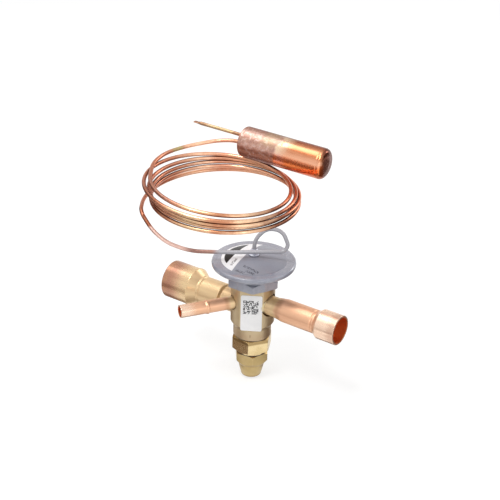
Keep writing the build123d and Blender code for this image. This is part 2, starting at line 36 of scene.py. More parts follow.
# lines that the finishes and the added pieces are measured from, in mm and degrees
layout = {
    "stemX": -62.0,                 # upright line through stem, body and element, at y 0
    "outletZ": -6.4,
    "equalizerBearing": 236.0,
    "coilX": -83.5, "coilY": -4.8,  # middle of the capillary's coil
    "bulbY": 36.7, "bulbZ": 83.05,  # axis of the bulb
    "bulbStart": -95.6, "bulbEnd": -37.6,
}
stemX = layout["stemX"]
sideBearing = math.radians(layout["equalizerBearing"])
sideways = (math.cos(sideBearing), math.sin(sideBearing), 0.0)  # the equaliser tube's own axis


class Wire:  # one socket of a material, with arithmetic
    def __init__(self, finish, socket):
        self.finish, self.socket = finish, socket

    def math(self, operation, *others, clamp=False):
        values = {i: v for i, v in enumerate((self, *others))}
        return self.finish.add("Math", {"operation": operation, "use_clamp": clamp}, values)

    def __add__(self, other):
        return self.math("ADD", other)

    def __sub__(self, other):
        return self.math("SUBTRACT", other)

    def __mul__(self, other):
        return self.math("MULTIPLY", other)

    def __truediv__(self, other):
        return self.math("DIVIDE", other)

    def __pow__(self, other):
        return self.math("POWER", other)

    def __rsub__(self, other):
        return self * -1 + other

    def __rtruediv__(self, other):
        return self.math("POWER", -1) * other

    __radd__ = __add__
    __rmul__ = __mul__

    def size(self):
        return self.math("ABSOLUTE")

    def root(self):
        return self.math("SQRT")

    def sine(self):
        return self.math("SINE")

    def least(self, other):
        return self.math("MINIMUM", other)

    def most(self, other):
        return self.math("MAXIMUM", other)

    def clip(self):
        return self.math("ADD", 0.0, clamp=True)

    def step(self, low, high, bottom=0.0, top=1.0):  # smooth change from bottom to top
        settings = {"interpolation_type": "SMOOTHSTEP", "clamp": True}
        return self.finish.add("MapRange", settings, {0: self, 1: low, 2: high, 3: bottom, 4: top})

    def below(self, low, high):  # 1 up to low, 0 from high on
        return self.step(low, high, 1.0, 0.0)


class Finish:  # one material and the nodes in it
    def __init__(self, name):
        self.material = bpy.data.materials.new(name)
        self.material.use_nodes = True
        self.tree = self.material.node_tree
        self.tree.nodes.clear()
        self.spot = self.add("TexCoord", out="Object")
        self.mm = self.add("VectorMath", {"operation": "SCALE"}, {0: self.spot, "Scale": 1000.0})
        parts = self.add("SeparateXYZ", {}, {0: self.mm}).socket.node
        self.x, self.y, self.z = [Wire(self, parts.outputs[i]) for i in range(3)]

    def add(self, kind, settings=None, values=None, out=0):
        node = self.tree.nodes.new("ShaderNode" + kind)
        for key, value in (settings or {}).items():
            if key == "stops":  # a colour ramp's stops, as (place, colour)
                ramp = node.color_ramp
                while len(ramp.elements) < len(value):
                    ramp.elements.new(0.5)
                for element, (at, colour) in zip(ramp.elements, value):
                    element.position, element.color = at, (*colour, 1.0)
            else:
                setattr(node, key, value)
        for key, value in (values or {}).items():
            if isinstance(value, Wire):
                self.tree.links.new(value.socket, node.inputs[key])
            elif isinstance(value, (tuple, list)) and node.inputs[key].type == "RGBA":
                node.inputs[key].default_value = (*value, 1.0)
            else:
                node.inputs[key].default_value = value
        return Wire(self, node.outputs[out])

    def vector(self, operation, first, second, out=0):
        return self.add("VectorMath", {"operation": operation}, {0: first, 1: second}, out=out)

    def ramp(self, stops, where):
        return self.add("ValToRGB", {"stops": stops}, {0: where})

    def blend(self, amount, first, second):  # colours, by a 0..1 amount
        return self.add("Mix", {"data_type": "RGBA"}, {0: amount, 6: first, 7: second}, out=2)

    def noise(self, scale, detail=3.0, roughness=0.55, warp=0.0, stretch=None):  # scale per mm
        where = self.vector("MULTIPLY", self.mm, stretch) if stretch else self.mm
        values = {"Vector": where, "Scale": scale, "Detail": detail, "Roughness": roughness,
                  "Distortion": warp}
        return self.add("TexNoise", {"noise_dimensions": "3D"}, values)

    def fromStem(self):  # distance in mm from the stem's upright line
        return ((self.x - stemX) ** 2.0 + self.y ** 2.0).root()

    def crevice(self, reach):  # 1 in tight corners, 0 in the open, with the reach in metres: an ambient-occlusion mask that the finishes use to paint shade into corners
        near = self.add("AmbientOcclusion", {"samples": 8}, {"Distance": reach}, out="AO")
        return near.below(0.35, 0.85)

    def softEdge(self, radius):  # normal with rounded edges, with the radius in metres
        return self.add("Bevel", {"samples": 6}, {"Radius": radius})

    def edge(self, rounded):  # 1 on sharp edges
        true = self.add("NewGeometry", out="Normal")
        return self.vector("DOT_PRODUCT", rounded, true, out="Value").below(0.80, 0.995)

    def bump(self, height, depth, under=None):  # depth in metres
        values = {"Height": height, "Distance": depth, "Strength": 1.0}
        if under is not None:
            values["Normal"] = under
        return self.add("Bump", {}, values)

    def surface(self, colour, rough, metal, normal, **more):
        values = {"Base Color": colour, "Roughness": rough, "Metallic": metal, "Normal": normal}
        shader = self.add("BsdfPrincipled", {}, {**values, **more})
        end = self.tree.nodes.new("ShaderNodeOutputMaterial")
        self.tree.links.new(shader.socket, end.inputs[0])
        return self.material


def shaded(tone, amount):  # a colour made darker or lighter
    return tuple(c * amount for c in tone)


cameraPlan = {
    "position": (0.29093, -0.52780, 0.36642),
    "towards": (-0.49528, 0.73428, -0.46438),
    "roll": 1.46,                   # degrees
    "lens": 86.4, "sensor": 36.0,   # mm
    "near": 0.01, "far": 20.0,
}


def makeCamera(plan):
    data = bpy.data.cameras.new("bench_camera")
    data.lens, data.sensor_width = plan["lens"], plan["sensor"]
    data.clip_start, data.clip_end = plan["near"], plan["far"]
    camera = bpy.data.objects.new("bench_camera", data)
    bpy.context.collection.objects.link(camera)
    ahead = Vector(plan["towards"]).normalized()
    side = ahead.cross(Vector((0, 0, 1))).normalized()
    up = side.cross(ahead)
    turn = math.radians(plan["roll"])
    right = side * math.cos(turn) + up * math.sin(turn)
    top = -side * math.sin(turn) + up * math.cos(turn)
    camera.matrix_world = (Matrix.Translation(plan["position"])
                           @ Matrix((right, top, -ahead)).transposed().to_4x4())
    bpy.context.scene.camera = camera


makeCamera(cameraPlan)
bpy.context.scene.view_settings.view_transform = "Standard"
print("camera placed")

studio = {
    "skyForLight": 0.66,           # grey level that lights the valve
    "floorZ": -0.0540, "floorHalf": 4.0, "floorTone": 0.36,
    "floorGlow": (0.34, 0.68),     # as light, as seen
    "aimZ": 0.02,
    # lamps: bearing, height above the horizon, distance, diameter, brightness seen in a mirror
    "lamps": {
        "key_lamp": (185.0, 64.0, 0.95, 0.50, 3.0),
        "front_lamp": (262.0, 64.0, 1.0, 0.36, 13.0),
        "low_lamp": (328.0, 12.0, 1.2, 0.40, 3.2),
        "rim_lamp": (74.0, 26.0, 1.0, 0.30, 7.0),
    },
    # boards that only the metals see: flat ones by bearings and radii, upright ones by
    # bearings and heights at a distance
    "flatBoards": [(195, 250, 0.014, 0.066), (205, 262, 0.135, 0.50), (12, 76, 0.014, 0.45),
                   (150, 190, 0.06, 0.45)],
    "wallBoards": [(30, 75, -0.05, 0.22, 0.62), (165, 214, -0.05, 0.30, 0.62)],
    "backBoards": [(92, 158, 0.12, 0.78, 0.62)],
    "boardTone": (0.13, 0.07, 0.045), "backTone": (0.80, 0.74, 0.70), "boardRough": 0.9,
    "boardLift": 0.0004, "boardSteps": 12,
}


def whiteForEye(tree, level, white=1.0):  # white for camera, mirror and glass rays
    path = tree.nodes.new("ShaderNodeLightPath")
    seen = path.outputs["Is Camera Ray"]
    for name in ("Is Glossy Ray", "Is Transmission Ray"):
        pick = tree.nodes.new("ShaderNodeMath")
        pick.operation = "MAXIMUM"
        tree.links.new(seen, pick.inputs[0])
        tree.links.new(path.outputs[name], pick.inputs[1])
        seen = pick.outputs[0]
    mix = tree.nodes.new("ShaderNodeMix")
    mix.data_type = "RGBA"
    tree.links.new(seen, mix.inputs[0])
    mix.inputs[6].default_value = (level, level, level, 1)
    mix.inputs[7].default_value = (white, white, white, 1)
    return mix.outputs[2]


def makeWorld(plan):
    world = bpy.data.worlds.new("plain_white")
    bpy.context.scene.world = world
    world.use_nodes = True
    tree = world.node_tree
    tree.nodes.clear()
    back = tree.nodes.new("ShaderNodeBackground")
    tree.links.new(whiteForEye(tree, plan["skyForLight"]), back.inputs[0])
    end = tree.nodes.new("ShaderNodeOutputWorld")
    tree.links.new(back.outputs[0], end.inputs[0])


def makeLamp(name, aimZ, bearing, height, distance, wide, level):
    turn, lift = math.radians(bearing), math.radians(height)
    aim = Vector((stemX / 1000, 0, aimZ))
    away = Vector((math.cos(turn) * math.cos(lift), math.sin(turn) * math.cos(lift), math.sin(lift)))
    lamp = bpy.data.lights.new(name, "AREA")
    lamp.shape, lamp.size = "DISK", wide
    lamp.energy = level * math.pi * math.pi * wide ** 2 / 4
    thing = bpy.data.objects.new(name, lamp)
    bpy.context.collection.objects.link(thing)
    thing.matrix_world = (Matrix.Translation(aim + away * distance)
                          @ (-away).to_track_quat("-Z", "Y").to_matrix().to_4x4())


def meshObject(name, points, faces, material, smooth=True):
    mesh = bpy.data.meshes.new(name)
    mesh.from_pydata([tuple(p) for p in points], [], faces)
    for face in mesh.polygons:
        face.use_smooth = smooth
    mesh.materials.append(material)
    thing = bpy.data.objects.new(name, mesh)
    bpy.context.collection.objects.link(thing)
    return thing


def whitePaper(plan):
    paper = bpy.data.materials.new("white_paper")
    paper.use_nodes = True
    tree = paper.node_tree
    tree.nodes.clear()
    matt = tree.nodes.new("ShaderNodeBsdfDiffuse")
    matt.inputs[0].default_value = (*[plan["floorTone"]] * 3, 1)
    glow = tree.nodes.new("ShaderNodeEmission")
    tree.links.new(whiteForEye(tree, *plan["floorGlow"]), glow.inputs[0])
    both = tree.nodes.new("ShaderNodeAddShader")
    tree.links.new(matt.outputs[0], both.inputs[0])
    tree.links.new(glow.outputs[0], both.inputs[1])
    end = tree.nodes.new("ShaderNodeOutputMaterial")
    tree.links.new(both.outputs[0], end.inputs[0])
    return paper


def makeFloor(plan):
    half, z = plan["floorHalf"], plan["floorZ"]
    corners = [(-half, -half, z), (half, -half, z), (half, half, z), (-half, half, z)]
    floor = meshObject("floor", corners, [(0, 1, 2, 3)], whitePaper(plan))


def boardCoat(name, tone, rough):
    coat = bpy.data.materials.new(name)
    coat.use_nodes = True
    shader = coat.node_tree.nodes["Principled BSDF"]
    shader.inputs["Base Color"].default_value = (*tone, 1)
    shader.inputs["Roughness"].default_value = rough
    return coat


def makeBoards(plan):
    dark, pale = [boardCoat(name, plan[name], plan["boardRough"])
                  for name in ("boardTone", "backTone")]
    low, steps = plan["floorZ"] + plan["boardLift"], plan["boardSteps"]
    strips = [(first, last, (near, low), (far, low), dark)
              for first, last, near, far in plan["flatBoards"]]
    for coat, walls in ((dark, plan["wallBoards"]), (pale, plan["backBoards"])):
        strips += [(first, last, (far, bottom), (far, top), coat)
                   for first, last, bottom, top, far in walls]
    for index, (first, last, inner, outer, coat) in enumerate(strips):
        points = []
        for k in range(steps + 1):
            turn = math.radians(first + (last - first) * k / steps)
            for radius, z in (inner, outer):
                points.append((stemX / 1000 + radius * math.cos(turn), radius * math.sin(turn), z))
        faces = [(2 * k, 2 * k + 1, 2 * k + 3, 2 * k + 2) for k in range(steps)]
        board = meshObject("board_%d" % index, points, faces, coat, smooth=False)
        board.visible_camera = board.visible_shadow = board.visible_diffuse = False


makeWorld(studio)
makeFloor(studio)
makeBoards(studio)
for lampName, lampPlan in studio["lamps"].items():
    makeLamp(lampName, studio["aimZ"], *lampPlan)
print("studio lit")

machined = {  # shared by the brass pieces: pattern scales per mm, edge and gap in metres
    "cloud": 0.10, "grain": 6.0, "edge": 0.0003, "gap": 0.0035, "metal": 1.0,
}
brassLook = {
    **machined, "light": (0.55, 0.445, 0.285), "deep": (0.46, 0.35, 0.21),
    "grimeAndShade": (0.14, 0.065, 0.03), "worn": (0.72, 0.56, 0.34), "rough": 0.40, "cast": 0.00003,
    "metal": 0.82,
}
nutLook = {
    **machined, "light": (0.84, 0.66, 0.36), "deep": (0.70, 0.53, 0.26),
    "grimeAndShade": (0.26, 0.09, 0.02), "worn": (0.97, 0.83, 0.56), "rough": 0.24, "cast": 0.000006,
    "shoulder": -26.0, "tarnish": (0.36, 0.24, 0.10),
}
capLook = {
    **machined, "light": (0.56, 0.42, 0.205), "deep": (0.47, 0.34, 0.145),
    "grimeAndShade": (0.22, 0.10, 0.03), "worn": (0.72, 0.58, 0.34), "rough": 0.33, "cast": 0.000008,
}
threadPlan = {"pitch": 1.5, "rootRadius": 7.3, "low": -43.6, "high": -36.0, "depth": 12.0}
markPlan = {  # small stamped tick and stray nicks below the label, and a darker, pinker tone towards the bottom, in mm
    "lean": math.pi / 6, "across": -0.4, "up": -19.9, "tickWide": 0.3, "tickTall": 1.1,
    "lowFrom": -14.0, "lowTo": -19.0, "lowTone": (0.46, 0.30, 0.19),
}


def threadMask(f, thread):  # where the groove is cut, and its wave
    around = f.y.math("ARCTAN2", f.x - stemX) / (2 * math.pi)
    wave = ((f.z / thread["pitch"] + around) * (2 * math.pi)).sine()
    root, low, high = thread["rootRadius"], thread["low"], thread["high"]
    on = f.fromStem().below(root - 0.1, root) * f.z.below(high, high + 0.4) \
        * f.z.step(low - 0.3, low)
    return on, wave


def brass(name, look, thread=None, marks=None):
    f = Finish(name)
    broad = f.noise(look["cloud"], 2.0).step(0.35, 0.68)
    fine = f.noise(look["grain"], 4.0, 0.7)
    rounded = f.softEdge(look["edge"])
    # edges lighter: rubbing wear and a painted edge highlight
    wearAndHighlight = f.edge(rounded) * f.noise(0.9, 3.0).step(0.35, 0.7, 0.45, 1.0)
    gap = f.crevice(look["gap"])
    colour = f.blend(broad, look["deep"], look["light"])
    colour = f.blend(fine.step(0.3, 0.75) * 0.28, colour, look["worn"])
    colour = f.blend(wearAndHighlight * 0.55, colour, look["worn"])
    # painted shade in corners and recesses
    colour = f.blend(gap * 0.8, colour, look["grimeAndShade"])
    rough = (fine - 0.5) * 0.22 + look["rough"] + broad * 0.05 + gap * 0.2
    height = fine
    if "shoulder" in look:  # painted shade on the upper face, under the body
        upper = f.z.step(look["shoulder"] - 0.9, look["shoulder"])
        colour = f.blend(upper * 0.85, colour, look["tarnish"])
    if marks:
        across = (f.x - stemX) * math.cos(marks["lean"]) + f.y * math.sin(marks["lean"])
        tick = (across - marks["across"]).size().below(0.12, marks["tickWide"]) \
            * (f.z - marks["up"]).size().below(0.7, marks["tickTall"])
        nick = f.noise(1.1, 2.0, 0.5).step(0.70, 0.78) * f.noise(4.0, 1.0).step(0.5, 0.7)
        # darker and pinker towards the bottom
        low = (f.z + f.noise(0.3, 2.0) * 4.0).step(marks["lowFrom"], marks["lowTo"])
        colour = f.blend(low * 0.35, colour, marks["lowTone"])
        colour = f.blend(tick.most(nick * 0.6) * 0.7, colour, look["grimeAndShade"])
        height = height - tick * 2.0 - nick
    if thread:  # a wound groove on the threaded end, with painted shade on one flank of it
        on, wave = threadMask(f, thread)
        height = height * (1 - on) + on * wave * thread["depth"]
        colour = f.blend(on * wave.step(0.0, -0.9) * 0.6, colour, look["grimeAndShade"])
    normal = f.bump(height, look["cast"], rounded)
    return f.surface(colour, rough.clip(), look["metal"], normal)


copperLook = {
    "bright": (0.94, 0.69, 0.52), "pink": (0.82, 0.475, 0.295), "gold": (0.82, 0.60, 0.335),
    "heat": (0.50, 0.27, 0.13), "inside": (1.0, 0.34, 0.10), "dull": (0.50, 0.27, 0.185),
    "cloud": 0.22, "mottle": 0.7, "bands": 5.0, "edge": 0.00022, "gap": 0.0015,
    "scale": (0.45, 0.22),  # share of torch scale near the neck and beyond it
}
fittings = {  # lengths along each tube from the valve's axis, in mm
    "inlet_fitting": {
        "along": (1.0, 0.0, 0.0), "centre": (stemX, 0.0, 0.0), "bore": 8.1, "stop": 49.3,
        "goldTo": (18.0, 21.5), "brightFrom": (46.0, 50.0), "endFrom": (55.5, 60.0),
        "endDull": 0.5, "end": copperLook["dull"], "ragged": 3.0, "rough": 0.36,
    },
    "outlet_fitting": {
        "along": (-1.0, 0.0, 0.0), "centre": (stemX, 0.0, layout["outletZ"]), "bore": 11.25,
        "stop": 42.8, "goldTo": (43.0, 60.0), "brightFrom": (70.0, 80.0),
        "endFrom": (45.5, 57.5), "endDull": 0.9, "end": (0.42, 0.19, 0.12), "ragged": 9.0,
        "rough": 0.34,
    },
    "equalizer_fitting": {
        "along": sideways, "centre": (stemX, 0.0, 0.0), "bore": 3.3, "stop": 39.0,
        "goldTo": (15.0, 18.0), "brightFrom": (36.0, 44.0), "endFrom": (46.2, 46.8),
        "endDull": 0.3, "end": copperLook["dull"], "ragged": 2.0, "rough": 0.32,
    },
}


def copperFitting(name, look, plan):
    # t runs along the tube from the valve's axis, off is the way out from the tube's own axis
    f = Finish(name)
    away = f.vector("SUBTRACT", f.mm, plan["centre"])
    t = f.vector("DOT_PRODUCT", away, plan["along"], out="Value")
    line = f.add("VectorMath", {"operation": "SCALE"}, {0: plan["along"], "Scale": t})
    off = f.vector("SUBTRACT", away, line)
    radius = f.add("VectorMath", {"operation": "LENGTH"}, {0: off}, out="Value")
    around = f.add("VectorMath", {"operation": "NORMALIZE"}, {0: off})
    cloud = f.noise(look["cloud"], 3.0, 0.6)
    mottle = f.noise(look["mottle"], 4.0, 0.6)
    streak = f.add("TexNoise", {}, {"Vector": around, "Scale": look["bands"], "Detail": 3.0})
    drawnBandsAndReflection = streak.step(0.35, 0.65)  # lengthwise bands: drawing and swaging marks in the roughness, and painted dark reflection streaks in the colour
    where = t + (cloud - 0.5) * plan["ragged"]
    heated = plan["goldTo"][1]
    colour = f.blend(where.step(*plan["goldTo"]), look["gold"], look["pink"])
    colour = f.blend(where.step(*plan["brightFrom"]), colour, look["bright"])
    worn = (t + (streak - 0.5) * 8.0).step(*plan["endFrom"])
    colour = f.blend(worn * plan["endDull"], colour, plan["end"])
    ring = (where - heated).size().below(0.0, 2.6)  # brown edge of the heat tint
    colour = f.blend(ring * 0.45, colour, look["heat"])
    colour = f.blend(mottle.step(0.55, 0.85) * 0.16, colour, look["dull"])
    # painted dark reflection streaks along the tube
    colour = f.blend(drawnBandsAndReflection * 0.14, colour, look["dull"])
    within = radius.below(plan["bore"] - 0.05, plan["bore"] + 0.15) \
        * t.step(plan["stop"] - 0.6, plan["stop"])
    colour = f.blend(within * 0.9, colour, look["inside"])
    # painted shade in the corners, in the brown of the heat tint
    gap = f.crevice(look["gap"]) * (1 - within)
    colour = f.blend(gap * 0.55, colour, look["heat"])
    satin = t.step(plan["stop"] - 3.0, plan["stop"] + 1.0, plan["rough"], plan["rough"] - 0.1)
    rough = ((mottle - 0.5) * 0.08 + satin + drawnBandsAndReflection * 0.05 + within * 0.1).clip()
    normal = f.bump(streak, 0.00004, f.softEdge(look["edge"]))
    scale = t.step(heated - 2.0, heated + 8.0, *look["scale"])
    return f.surface(colour, rough, (1.0 - scale * (1 - within)).clip(), normal)


capillaryLook = {
    # painted highlights, reflections and shade by the place round the coil, in turns from the back
    # left
    "coil": [(0.0, (0.60, 0.24, 0.14)), (0.10, (0.50, 0.19, 0.11)), (0.17, (0.33, 0.10, 0.045)),
             (0.225, (0.66, 0.30, 0.17)), (0.285, (1.0, 0.70, 0.42)), (0.345, (0.58, 0.24, 0.125)),
             (0.40, (1.0, 0.68, 0.44)), (0.48, (0.31, 0.115, 0.065)), (0.60, (0.94, 0.38, 0.21)),
             (0.76, (1.0, 0.58, 0.37)), (0.845, (0.70, 0.31, 0.19)), (0.90, (1.0, 0.62, 0.41)),
             (0.965, (0.64, 0.28, 0.17))],
    "dull": (0.31, 0.175, 0.15), "brown": (0.44, 0.19, 0.12), "olive": (0.52, 0.42, 0.20),
    "plum": (0.58, 0.38, 0.34), "shade": (0.13, 0.03, 0.012),
    "spray": (0.40, 0.395, 0.425), "rose": (0.76, 0.52, 0.45),
    # heights of the lead below the coil and of the run above it, and reach of the overspray
    "leadTo": (48.5, 50.5), "highFrom": (73.0, 77.0), "roseFrom": (37.0, 44.0),
    "sprayTo": (21.0, 27.0), "giltAt": (-108.0, 10.0, 75.5),
    "cloud": 0.16, "mottle": 0.8, "gap": 0.0028, "rough": 0.30,
}


def capillary(name, look):
    f = Finish(name)
    cloud = f.noise(look["cloud"], 3.0, 0.6)
    mottle = f.noise(look["mottle"], 3.0, 0.6)
    fromDome = f.fromStem() + (cloud - 0.5) * 4.0
    level = f.z + (cloud - 0.5) * 3.0
    turn = (f.y - layout["coilY"]).math("ARCTAN2", f.x - layout["coilX"]) / (2 * math.pi) + 0.5
    lead = level.below(*look["leadTo"])
    high = level.step(*look["highFrom"])
    # painted highlights, reflections and shade round the coil
    colour = f.ramp(look["coil"], turn + (cloud - 0.5) * 0.08)
    colour = f.blend(mottle.step(0.35, 0.75) * 0.2, colour, look["dull"])
    low = f.blend(fromDome.step(*look["roseFrom"]), look["dull"], look["rose"])
    low = f.blend(mottle.step(0.55, 0.8) * 0.2, low, look["brown"])
    colour = f.blend(lead * 0.95, colour, low)
    giltX, giltY, giltZ = look["giltAt"]  # a patch that the solderer's flame left golden
    gilt = (f.y - giltY).size().below(2.0, 6.0) * f.z.step(giltZ, giltZ + 1.0) \
        * f.x.step(giltX, giltX - 6.0)
    top = f.blend(mottle.step(0.4, 0.7) * 0.5, look["brown"], look["plum"])
    top = f.blend(gilt * cloud.step(0.3, 0.55), top, look["olive"])
    colour = f.blend(high * (turn - 0.20).size().below(0.04, 0.12).most(gilt), colour, top)
    gap = f.crevice(look["gap"])
    colour = f.blend((gap * 1.15).least(0.95), colour, look["shade"])
    painted = lead * fromDome.below(*look["sprayTo"])  # overspray next to the element
    colour = f.blend(painted, colour, look["spray"])
    rough = ((mottle - 0.5) * 0.10 + look["rough"] + high * 0.06 + lead * 0.04).clip()
    return f.surface(colour, rough, 1.0 - painted * 0.9, f.bump(mottle, 0.000001))


bulbLook = {
    # tones with painted highlight bands and painted shade, from the underside (0) over the front
    # (0.375) and the top (0.625) to the back
    "dull": [(0.264, (0.20, 0.03, 0.01)), (0.353, (0.54, 0.22, 0.14)), (0.422, (0.66, 0.39, 0.31)),
             (0.494, (0.40, 0.22, 0.16)), (0.556, (0.68, 0.45, 0.38)), (0.611, (0.44, 0.22, 0.16)),
             (0.68, (0.22, 0.09, 0.06))],
    "shine": [(0.264, (0.56, 0.14, 0.045)), (0.353, (1.0, 0.26, 0.075)), (0.422, (0.92, 0.47, 0.29)),
              (0.494, (0.50, 0.17, 0.07)), (0.556, (0.70, 0.33, 0.17)), (0.611, (0.38, 0.10, 0.04)),
              (0.68, (0.26, 0.07, 0.03))],
    "ash": (0.74, 0.58, 0.53), "olive": (0.46, 0.38, 0.22), "rose": (0.84, 0.44, 0.50),
    "straw": (0.92, 0.78, 0.56), "edge": (0.22, 0.07, 0.04), "plum": (0.40, 0.22, 0.19),
    "boundary": -69.5, "oliveAt": -78.0,  # mm along X: where the heat stopped, and an olive band
    "cloud": 0.12, "mottle": 0.45, "speck": 1.8, "streak": 0.5, "radius": 9.5,
    "rough": 0.40, "dome": 0.0034, "softEdge": 0.0006,
}


def bulbCopper(name, look):
    f = Finish(name)
    cloud = f.noise(look["cloud"], 3.0, 0.6, 0.4)
    mottle = f.noise(look["mottle"], 5.0, 0.7)
    speck = f.noise(look["speck"], 3.0, 0.6)
    streak = f.noise(look["streak"], 3.0, 0.6, stretch=(0.12, 1.0, 1.0))
    dy, dz = layout["bulbY"] - f.y, f.z - layout["bulbZ"]
    around = dz.math("ARCTAN2", dy) / math.pi * 0.5 + 0.375 + (streak - 0.5) * 0.05
    up = dz / look["radius"]
    x = f.x + (cloud - 0.5) * 9.0 + (mottle - 0.5) * 4.0 - up.most(0.0) * 4.0
    past = x - look["boundary"]
    # the heated end, where the tubes are soldered in
    # its tone round the bulb holds painted highlight bands and painted shade
    dull = f.ramp(look["dull"], around + (mottle - 0.5) * 0.06)
    dull = f.blend(mottle.step(0.52, 0.60) * 0.55, dull, look["ash"])
    dull = f.blend(mottle.step(0.49, 0.41) * 0.6, dull, look["plum"])
    olive = (up + (cloud - 0.5)).step(0.2, 0.8) * (x - look["oliveAt"]).size().below(3.0, 9.0)
    dull = f.blend(olive * 0.4, dull, look["olive"])
    dull = f.blend(speck.step(0.54, 0.64) * 0.5, dull, look["edge"])
    # the bright end, rosy and straw-coloured next to the heated one
    # its tone round the bulb holds painted highlight bands and painted shade
    shine = f.ramp(look["shine"], around)
    tint = f.blend((up + (mottle - 0.5) * 1.2).step(-0.1, 0.5), look["rose"], look["straw"])
    shine = f.blend(past.below(0.0, 11.0) * cloud.step(0.40, 0.55) * 0.7, shine, tint)
    shine = f.blend(speck.step(0.66, 0.8) * 0.25, shine, look["edge"])
    right = past.step(-1.6, 1.2)
    colour = f.blend(right, dull, shine)
    line = (past + 0.4).size().below(0.15, 0.6)  # edge of the flux
    colour = f.blend(line * mottle.step(0.45, 0.6) * 0.35, colour, look["straw"])
    start = (f.x - layout["bulbStart"]).below(0.2, 2.0)
    colour = f.blend(start * 0.35, colour, look["edge"])
    face = f.x.step(layout["bulbEnd"] - 0.9, layout["bulbEnd"] - 0.2)  # the spun end
    shadow = (dy - dz * 0.2 + (cloud - 0.5) * 2.0).step(0.5, 5.5, 1.0, 0.0)
    dark = f.blend((dy + dz).step(-9.0, 5.0), look["plum"], look["edge"])
    colour = f.blend(face * shadow, colour, dark)
    rough = (look["rough"] - right * 0.14 + (mottle - 0.5) * 0.14).clip()
    out = ((dy ** 2.0 + dz ** 2.0).root() / look["radius"]).least(1.0)
    domed = f.bump(out ** 4.0 * -1, look["dome"], f.softEdge(look["softEdge"]))
    height = (mottle * 0.5 + speck * 0.2) * (1 - right * 0.7) * (1 - face)
    return f.surface(colour, rough, 1.0, f.bump(height, 0.00002, domed))


chargingLook = {
    "gold": (0.66, 0.47, 0.25), "brown": (0.40, 0.20, 0.12), "pale": (0.72, 0.56, 0.42),
    "cloud": 0.11, "mottle": 0.4, "tip": -126.0, "rough": 0.32,
}


def chargingTube(name, look):
    f = Finish(name)
    cloud = f.noise(look["cloud"], 3.0, 0.6)
    mottle = f.noise(look["mottle"], 3.0, 0.6)
    colour = f.blend(cloud.step(0.42, 0.58), look["gold"], look["brown"])
    colour = f.blend(mottle.step(0.52, 0.66) * 0.6, colour, look["pale"])
    tip = (f.x - look["tip"]).below(0.0, 5.0)  # cut and pinched end
    colour = f.blend(tip * 0.7, colour, look["brown"])
    rough = (look["rough"] + (mottle - 0.5) * 0.2).clip()
    return f.surface(colour, rough, 1.0, f.bump(mottle, 0.000003))


paintLook = {
    "base": (0.325, 0.335, 0.395), "dark": (0.265, 0.275, 0.335), "chip": (0.50, 0.50, 0.56),
    "rough": 0.27, "gloss": 1.0, "glossRough": 0.07, "edge": 0.0003, "gap": 0.003,
    # the lower shell's and the ferrule's factors make lighter copies of the same paint, as painted
    # light
    "cloud": 0.12, "peel": 1.6, "grain": 7.0, "lowerPaintedLight": 1.06, "ferrulePaintedLight": 1.7,
}


def paint(name, look, shade=1.0):
    f = Finish(name)
    # shade scales the whole piece's tone: a lighter copy of one paint, as painted light
    base, dark = shaded(look["base"], shade), shaded(look["dark"], shade)
    cloud = f.noise(look["cloud"], 3.0)
    peel = f.noise(look["peel"], 2.0, 0.5)
    fine = f.noise(look["grain"], 3.0, 0.6)
    rounded = f.softEdge(look["edge"])
    colour = f.blend(cloud.step(0.35, 0.7), dark, base)
    colour = f.blend(f.edge(rounded) * fine.step(0.4, 0.7) * 0.35, colour, look["chip"])
    # painted shade in corners
    colour = f.blend(f.crevice(look["gap"]) * 0.6, colour, shaded(dark, 0.35))
    rough = (look["rough"] + (fine - 0.5) * 0.12 + (cloud - 0.5) * 0.08).clip()
    normal = f.bump(peel * 0.8 + fine * 0.25, 0.00004, rounded)
    return f.surface(colour, rough, 0.0, normal,
                     **{"Coat Weight": look["gloss"], "Coat Roughness": look["glossRough"]})


labelLook = {
    "paper": (0.95, 0.945, 0.94), "shade": (0.62, 0.62, 0.64), "cornerShade": (0.35, 0.33, 0.30),
    "grey": 0.20, "fibre": 5.0, "rough": 0.45, "gloss": 0.2,
}


def bodyLabel(name, look):
    f = Finish(name)
    grey = f.noise(look["grey"], 2.0).step(0.3, 0.75)
    fibre = f.noise(look["fibre"], 3.0, 0.7)
    colour = f.blend(grey * 0.18, look["paper"], look["shade"])
    # painted shade in the corners round the label
    colour = f.blend(f.crevice(0.0012) * 0.35, colour, look["cornerShade"])
    colour = f.blend(fibre.step(0.6, 0.8) * 0.12, colour, look["shade"])
    rough = (look["rough"] + (grey - 0.5) * 0.08).clip()
    return f.surface(colour, rough, 0.0, f.bump(fibre, 0.000006),
                     **{"Coat Weight": look["gloss"]})


domeLook = {
    "plain": (0.265, 0.27, 0.318), "black": (0.012, 0.010, 0.011), "white": (0.86, 0.855, 0.87),
    "ink": (0.055, 0.055, 0.08), "rough": 0.36, "gloss": 0.08, "soft": 0.10,
    # the white band's two sides and its lean, and the arc's inner radius, from the stem in mm
    "bandFrom": -11.0, "bandTo": -4.3, "bandLean": 0.10, "arcFrom": 17.8,
    "bandRow": (-7.4, -12.5),  # middle of the specks on the band
    # rows of specks on the grey: y, first x, last x
    "rows": [(-13.4, 1.5, 12.5), (-16.0, 5.0, 11.5), (-18.3, -0.8, 5.6)],
}


